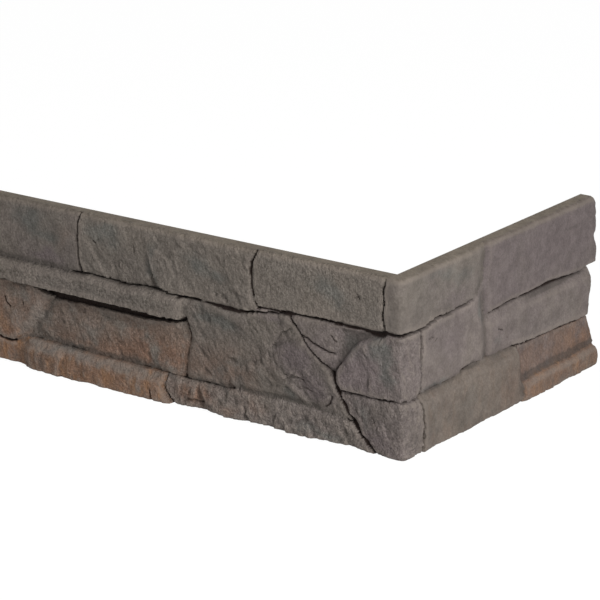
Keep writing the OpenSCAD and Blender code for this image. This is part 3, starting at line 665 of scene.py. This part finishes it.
def casting_mesh(size):
    """The casting as one closed skin: relief in front, plain sheets behind it and at its edges."""
    layout = list(stones(size).values())
    along = columns(size)
    up = np.linspace(0, TOP, int(round(TOP / size.cell)) + 1)
    u, z = np.meshgrid(along, up)
    u, z = snapped(u, z, layout, size.cell * 0.52)
    end = np.minimum(RAGGED_END(z) + 0.5 * value_noise(u * 0, z, 5, 77), END_LIMIT)
    u = np.where(u > BEND, BEND + (u - BEND) * (end - BEND) / (SHORT_END - BEND), u)
    # The foot's edge wavers, and the face above it is drawn along.
    foot_line = 0.9 * np.clip(layered_noise(u, z * 0, 15, 71, 2) + 0.35, 0, 1.5)
    z = z + foot_line * (1 - ease(z / 7))
    depth, face_masks = relief(u, z, layout, size)
    front = place(u, z, depth)
    rows, cols = u.shape

    vertices = [front.reshape(-1, 3)]
    offset = rows * cols
    number = np.arange(rows * cols).reshape(rows, cols)
    # Cells are split along the diagonal that lies deeper, so that slanting cracks run on unbroken.
    corners = np.stack([number[:-1, :-1], number[:-1, 1:], number[1:, 1:], number[1:, :-1]], -1)
    corners = corners.reshape(-1, 4)
    low = depth.reshape(-1)[corners]
    turned = low[:, 1] + low[:, 3] < low[:, 0] + low[:, 2]
    corners = np.where(turned[:, None], np.roll(corners, -1, axis=1), corners)
    triangles = np.concatenate([corners[:, [0, 1, 2]], corners[:, [0, 2, 3]]])
    quads = []
    ring = np.concatenate([number[0, :], number[1:, -1], number[-1, -2::-1], number[-2:0:-1, 0]])
    ring_u, ring_z, ring_d = (values.reshape(-1)[ring] for values in (u, z, depth))
    last = ring
    # Sheets from the face's border back to the wall, at these shares of the face's depth.
    for share in (0.66, 0.33, 0.0):
        level_z = ring_z if share else np.where(ring_z < 3, 0.0, ring_z)
        fresh = offset + np.arange(len(ring))
        quads.append(np.stack([np.roll(last, -1), last, fresh, np.roll(fresh, -1)], -1))
        vertices.append(place(ring_u, level_z, ring_d * share))
        offset += len(ring)
        last = fresh
    head = cols + rows - 2
    bottom, right, top = last[:cols], last[cols - 1:head + 1], last[head:head + cols][::-1]
    left = np.concatenate([last[:1], last[head + cols - 1:][::-1]])
    # The back is upright strips, and one sheet at each end that meets every point of its edge.
    first, final = 3, int(np.searchsorted(along, BEND - 6))
    quads.append(np.stack([bottom[first + 1:final + 1], bottom[first:final], top[first:final],
                           top[first + 1:final + 1]], -1))
    end_sheets = [np.concatenate([bottom[:first + 1][::-1], left[1:-1], top[:first + 1]]).tolist(),
                  np.concatenate([bottom[final:], right[1:-1], top[final:][::-1]]).tolist()]
    faces = triangles.tolist() + np.concatenate(quads).tolist() + end_sheets
    vertices = np.concatenate(vertices)
    masks = {name: np.full(len(vertices), bare) for name, bare in BARE.items()}
    for name, values in face_masks.items():
        masks[name][:rows * cols] = np.broadcast_to(values, u.shape).reshape(-1)
    return vertices, faces, masks


def build_casting(size):
    """Puts the skin into a mesh, closes the inner arris, and writes the colour masks as attributes."""
    vertices, faces, masks = casting_mesh(size)
    mesh = bpy.data.meshes.new("corner_casting")
    mesh.from_pydata(vertices, [], faces)
    for name, values in masks.items():
        attribute = mesh.attributes.new(name, "FLOAT", "POINT")
        attribute.data.foreach_set("value", values.astype(np.float32))
    work = bmesh.new()
    work.from_mesh(mesh)
    bmesh.ops.remove_doubles(work, verts=work.verts, dist=1e-6)
    bmesh.ops.dissolve_degenerate(work, edges=work.edges, dist=1e-7)
    bmesh.ops.recalc_face_normals(work, faces=work.faces)
    work.to_mesh(mesh)
    work.free()
    mesh.polygons.foreach_set("use_smooth", np.ones(len(mesh.polygons), bool))
    mesh.set_sharp_from_angle(angle=math.radians(52))
    piece = bpy.data.objects.new("corner_casting", mesh)
    bpy.context.scene.collection.objects.link(piece)
    return piece


# ---------------- materials
def linear(code):
    """An sRGB hex colour as linear values with alpha."""
    parts = [int(code[i:i + 2], 16) / 255 for i in (1, 3, 5)]
    return tuple(c / 12.92 if c <= 0.04045 else ((c + 0.055) / 1.055) ** 2.4 for c in parts) + (1.0,)


def empty_tree(owner):
    """The node tree of a material or world, with nothing in it."""
    owner.use_nodes = True
    owner.node_tree.nodes.clear()
    return owner.node_tree


def add_node(tree, kind, links=None, **settings):
    """Adds a node; settings go to its properties, links maps an input to a value or another node's output."""
    node = tree.nodes.new(kind)
    for key, value in settings.items():
        setattr(node, key, value)
    for key, value in (links or {}).items():
        socket = node.inputs[key]
        if isinstance(value, bpy.types.NodeSocket):
            tree.links.new(value, socket)
        else:
            socket.default_value = value
    return node


def stone_material(colours):
    """Cast concrete with iron oxide pigments, pressed in a rubber mould from split stone.

    Fine sand gives a dull, grainy skin; pigment washed over it pools into cool and warm patches,
    iron oxide stains the lower stones, and the joints stay almost black.
    """
    material = bpy.data.materials.new("cast_concrete_oxide_washed")
    tree = empty_tree(material)
    place_at = add_node(tree, "ShaderNodeTexCoord").outputs["Object"]

    def noise(size, detail, rough, distortion=0.0, vector=place_at):
        return add_node(tree, "ShaderNodeTexNoise", {
            "Vector": vector, "Scale": 1 / (size * MM), "Detail": detail, "Roughness": rough,
            "Distortion": distortion}).outputs["Fac"]

    def ramp(value, low, high, to_low=0.0, to_high=1.0):
        return add_node(tree, "ShaderNodeMapRange", {
            "Value": value, "From Min": low, "From Max": high, "To Min": to_low, "To Max": to_high},
            interpolation_type="SMOOTHSTEP").outputs["Result"]

    def mix(factor, a, b, blend="MIX"):
        return add_node(tree, "ShaderNodeMix", {0: factor, 6: a, 7: b}, data_type="RGBA",
                        blend_type=blend).outputs[2]

    def times(a, b):
        return add_node(tree, "ShaderNodeMath", {0: a, 1: b}, operation="MULTIPLY").outputs[0]

    def mask(name):
        return add_node(tree, "ShaderNodeAttribute", attribute_name=name).outputs["Fac"]

    def plus(a, b):
        return add_node(tree, "ShaderNodeMath", {0: a, 1: b}, operation="ADD").outputs[0]

    colour = mix(ramp(noise(75, 3, 0.5), 0.36, 0.64), linear(colours.grey), linear(colours.warm))
    violet = ramp(plus(mask("violet"), times(noise(30, 4, 0.6, distortion=0.4), 0.7)), 0.3, 1.3)
    colour = mix(violet, colour, linear(colours.purple))
    cool = ramp(plus(mask("cool"), times(noise(20, 5, 0.65, distortion=0.5), 0.9)), 0.55, 1.25)
    colour = mix(times(cool, 0.75), colour, linear(colours.cool))
    brown_patch = ramp(noise(18, 4, 0.6), 0.3, 0.6)
    colour = mix(times(mask("brown"), brown_patch), colour, linear(colours.brown))
    rust_patch = ramp(noise(15, 5, 0.6, distortion=0.5), 0.26, 0.56, 0.25, 1.0)
    colour = mix(times(mask("rust"), rust_patch), colour, linear(colours.rust))
    streak = add_node(tree, "ShaderNodeMapping", {"Vector": place_at, "Scale": (1.0, 1.0, 0.35)}).outputs[0]
    orange_patch = ramp(noise(9, 4, 0.6, vector=streak), 0.46, 0.7)
    colour = mix(times(mask("rust"), times(orange_patch, 0.7)), colour, linear(colours.orange))
    colour = mix(times(mask("plain"), 0.6), colour, linear(colours.edge))
    # Grain of the sand, drawn at about 1.8 mm so that it shows at the size of the picture.
    sand = noise(1.8, 2, 0.75)
    colour = mix(plus(times(mask("fine"), 0.22), 0.08), colour, ramp(sand, 0.25, 0.75), "SOFT_LIGHT")
    mottle = noise(12, 5, 0.7)
    colour = mix(0.26, colour, ramp(mottle, 0.25, 0.75), "SOFT_LIGHT")
    # Pigment and painted shade darken the hollows, and the ridges are drawn lighter: partly rubbed, partly
    # painted highlight.
    wash = mask("wash")
    colour = mix(ramp(wash, 0.0, 1.0, 0.0, 0.55), colour, linear(colours.shade))
    colour = mix(ramp(times(wash, -1.0), 0.0, 1.4, 0.0, 0.7), colour, linear(colours.worn_and_highlight))
    tone = add_node(tree, "ShaderNodeCombineColor", {i: mask("tone") for i in range(3)}).outputs[0]
    colour = mix(1.0, colour, tone, "MULTIPLY")
    colour = mix(ramp(mask("joint"), 0.05, 0.8), colour, linear(colours.joint))

    tall = add_node(tree, "ShaderNodeMapping", {"Vector": place_at, "Scale": (1.0, 1.0, 0.7)}).outputs[0]
    grit = noise(1.8, 2, 0.65, vector=tall)
    ripples = noise(3.8, 3, 0.6, vector=tall)
    height = times(plus(times(grit, 0.7), ripples), mask("fine"))
    bump = add_node(tree, "ShaderNodeBump", {"Strength": 1.0, "Distance": 0.0019, "Height": height})
    shader = add_node(tree, "ShaderNodeBsdfPrincipled", {
        "Base Color": colour, "Roughness": 0.88, "Specular IOR Level": 0.32,
        "Normal": bump.outputs["Normal"]})
    add_node(tree, "ShaderNodeOutputMaterial", {"Surface": shader.outputs[0]})
    return material


def floor_material(colours):
    """Matte paper: white to the camera, with a weak true shadow kept."""
    material = bpy.data.materials.new("paper_sweep")
    tree = empty_tree(material)
    paper = add_node(tree, "ShaderNodeBsdfDiffuse", {"Color": linear(colours.floor)})
    white = add_node(tree, "ShaderNodeEmission", {"Color": (1, 1, 1, 1), "Strength": 1.06})
    seen = add_node(tree, "ShaderNodeLightPath").outputs["Is Camera Ray"]
    share = add_node(tree, "ShaderNodeMath", {0: seen, 1: 0.9}, operation="MULTIPLY").outputs[0]
    both = add_node(tree, "ShaderNodeMixShader", {0: share, 1: paper.outputs[0], 2: white.outputs[0]})
    add_node(tree, "ShaderNodeOutputMaterial", {"Surface": both.outputs[0]})
    return material


# ---------------- add-on
def stand(name, data, spot, away):
    """Puts a lamp or camera at a spot, with its back turned to away."""
    holder = bpy.data.objects.new(name, data)
    holder.matrix_world = Matrix.Translation(spot) @ away.to_track_quat("Z", "Y").to_matrix().to_4x4()
    bpy.context.scene.collection.objects.link(holder)
    return holder


class CastingSize(bpy.types.PropertyGroup):
    """Sizes of the casting, in millimetres."""

    strip_proud: FloatProperty(name="Strip", description="Thin strip ahead of the faces", default=8.0)
    recess: FloatProperty(name="Recess", description="Set back stone behind the faces", default=4.5)
    ledge_proud: FloatProperty(name="Ledge", description="Long leg's foot ahead of the faces", default=6.0)
    foot_proud: FloatProperty(name="Foot", description="Short leg's foot ahead of the faces", default=11.0)
    floor: FloatProperty(name="Joint floor", description="Joint floor's distance from the wall", default=6.5)
    joint: FloatProperty(name="Joint width", description="Width of the joints", default=1.2)
    rim: FloatProperty(name="Rim", description="Width of the rounded rims", default=1.6)
    rim_fall: FloatProperty(name="Rim fall", description="Fall of the rims", default=0.8)
    reach_long: FloatProperty(name="Reach, long leg", description="Farthest from the wall", default=21.2)
    reach_short: FloatProperty(name="Reach, short leg", description="Farthest from the wall", default=24.3)
    relief: FloatProperty(name="Relief", description="Strength of the riven grain", default=1.0)
    cell: FloatProperty(name="Cell", description="Width of one cell of the relief", default=1.18, min=1.0)


class StoneColours(bpy.types.PropertyGroup):
    """Colours as sRGB hex codes."""

    grey: StringProperty(name="Grey", description="Main grey", default="#6b645d")
    warm: StringProperty(name="Warm grey", description="Warmer patches", default="#716961")
    cool: StringProperty(name="Cool grey", description="Cool washed patches", default="#5d5d59")
    purple: StringProperty(name="Violet grey", description="Violet patches", default="#6c6261")
    brown: StringProperty(name="Brown", description="Brown wash", default="#785f50")
    rust: StringProperty(name="Rust", description="Iron oxide stain", default="#7a604f")
    orange: StringProperty(name="Orange", description="Strongest oxide", default="#8a6749")
    # Colour of the pigment in the hollows and of the painted shade there.
    shade: StringProperty(name="Wash", description="Pigment in the hollows", default="#3e3935")
    # Colour of the rubbed ridges and of the painted highlight on the bevel and the lighter patches.
    worn_and_highlight: StringProperty(name="Worn", description="Rubbed ridges", default="#857b73")
    edge: StringProperty(name="Edge", description="Bare cast edge", default="#776c5d")
    joint: StringProperty(name="Joint", description="Joint shade", default="#1c0f09")
    floor: StringProperty(name="Floor", description="Paper sweep", default="#f4f4f3")


class StageLight(bpy.types.PropertyGroup):
    """Lamps of the stage in watts, and the strength of the even light."""

    key: FloatProperty(name="Key", description="Lamp above the right front", default=35.5, unit="POWER")
    fill: FloatProperty(name="Fill", description="Large lamp at the left", default=2.8, unit="POWER")
    sky: FloatProperty(name="Sky", description="Even light from all round", default=0.33)


class CORNER_OT_casting(bpy.types.Operator):
    """Build the casting with its relief and colours"""

    bl_idname = "corner_stone.casting"
    bl_label = "Casting"

    def execute(self, context):
        piece = build_casting(context.scene.casting_size)
        piece.data.materials.append(stone_material(context.scene.stone_colours))
        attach(piece, "root")
        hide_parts("corner_stone")
        return {"FINISHED"}


class CORNER_OT_stage(bpy.types.Operator):
    """Set up the floor, the lamps and the camera"""

    bl_idname = "corner_stone.stage"
    bl_label = "Stage"

    def execute(self, context):
        scene, light = context.scene, context.scene.stage_light
        mesh = bpy.data.meshes.new("paper_sweep")
        reach = 4.0
        mesh.from_pydata([(-reach, -reach, 0), (reach, -reach, 0), (reach, reach, 0), (-reach, reach, 0)],
            [], [(0, 1, 2, 3)])
        floor = bpy.data.objects.new("paper_sweep", mesh)
        mesh.materials.append(floor_material(scene.stone_colours))
        scene.collection.objects.link(floor)

        world = bpy.data.worlds.new("studio")
        tree = empty_tree(world)
        path = add_node(tree, "ShaderNodeLightPath")
        seen = add_node(tree, "ShaderNodeMath", {
            0: path.outputs["Is Camera Ray"], 1: path.outputs["Is Glossy Ray"]},
            operation="MAXIMUM").outputs[0]
        even = add_node(tree, "ShaderNodeBackground", {"Color": (1, 1, 1, 1), "Strength": light.sky})
        white = add_node(tree, "ShaderNodeBackground", {"Color": (1, 1, 1, 1), "Strength": 1.0})
        both = add_node(tree, "ShaderNodeMixShader", {0: seen, 1: even.outputs[0], 2: white.outputs[0]})
        add_node(tree, "ShaderNodeOutputWorld", {"Surface": both.outputs[0]})
        scene.world = world

        middle = Vector((-0.1, 0.0, 0.07))
        for name, watts, spot, width in (
                ("key", light.key, (1.55, -0.74, 1.25), 0.45), ("fill", light.fill, (-1.2, -1.6, 1.2), 1.4)):
            lamp = bpy.data.lights.new(name, "AREA")
            lamp.shape, lamp.size, lamp.energy = "DISK", width, watts
            stand(name, lamp, Vector(spot), Vector(spot) - middle)

        camera = bpy.data.cameras.new("camera")
        camera.sensor_width, camera.lens = 36.0, 180.0
        camera.clip_end = 50
        azimuth, elevation, distance = math.radians(35.69), math.radians(18.05), 2.432
        away = Vector((math.sin(azimuth) * math.cos(elevation), -math.cos(azimuth) * math.cos(elevation),
                       math.sin(elevation)))
        target = Vector((-0.0945, 0.0, 0.11073))
        scene.camera = stand("camera", camera, target + away * distance, away)
        scene.view_settings.view_transform = "Standard"
        return {"FINISHED"}


class CORNER_PT_panel(bpy.types.Panel):
    """Sidebar list of the builders"""

    bl_label = "Corner stone"
    bl_idname = "CORNER_PT_panel"
    bl_space_type = "VIEW_3D"
    bl_region_type = "UI"
    bl_category = "Corner stone"

    def draw(self, context):
        for group in (context.scene.casting_size, context.scene.stone_colours, context.scene.stage_light):
            for name in group.__annotations__:
                self.layout.prop(group, name)
        for operator in (CORNER_OT_casting, CORNER_OT_stage):
            self.layout.operator(operator.bl_idname)


CLASSES = (CastingSize, StoneColours, StageLight, CORNER_OT_casting, CORNER_OT_stage, CORNER_PT_panel)


def register():
    for item in CLASSES:
        bpy.utils.register_class(item)
    bpy.types.Scene.casting_size = PointerProperty(type=CastingSize)
    bpy.types.Scene.stone_colours = PointerProperty(type=StoneColours)
    bpy.types.Scene.stage_light = PointerProperty(type=StageLight)


def unregister():
    del bpy.types.Scene.casting_size, bpy.types.Scene.stone_colours, bpy.types.Scene.stage_light
    for item in reversed(CLASSES):
        bpy.utils.unregister_class(item)


def main():
    register()
    bpy.ops.corner_stone.casting()
    bpy.ops.corner_stone.stage()


if __name__ == "__main__":
    main()
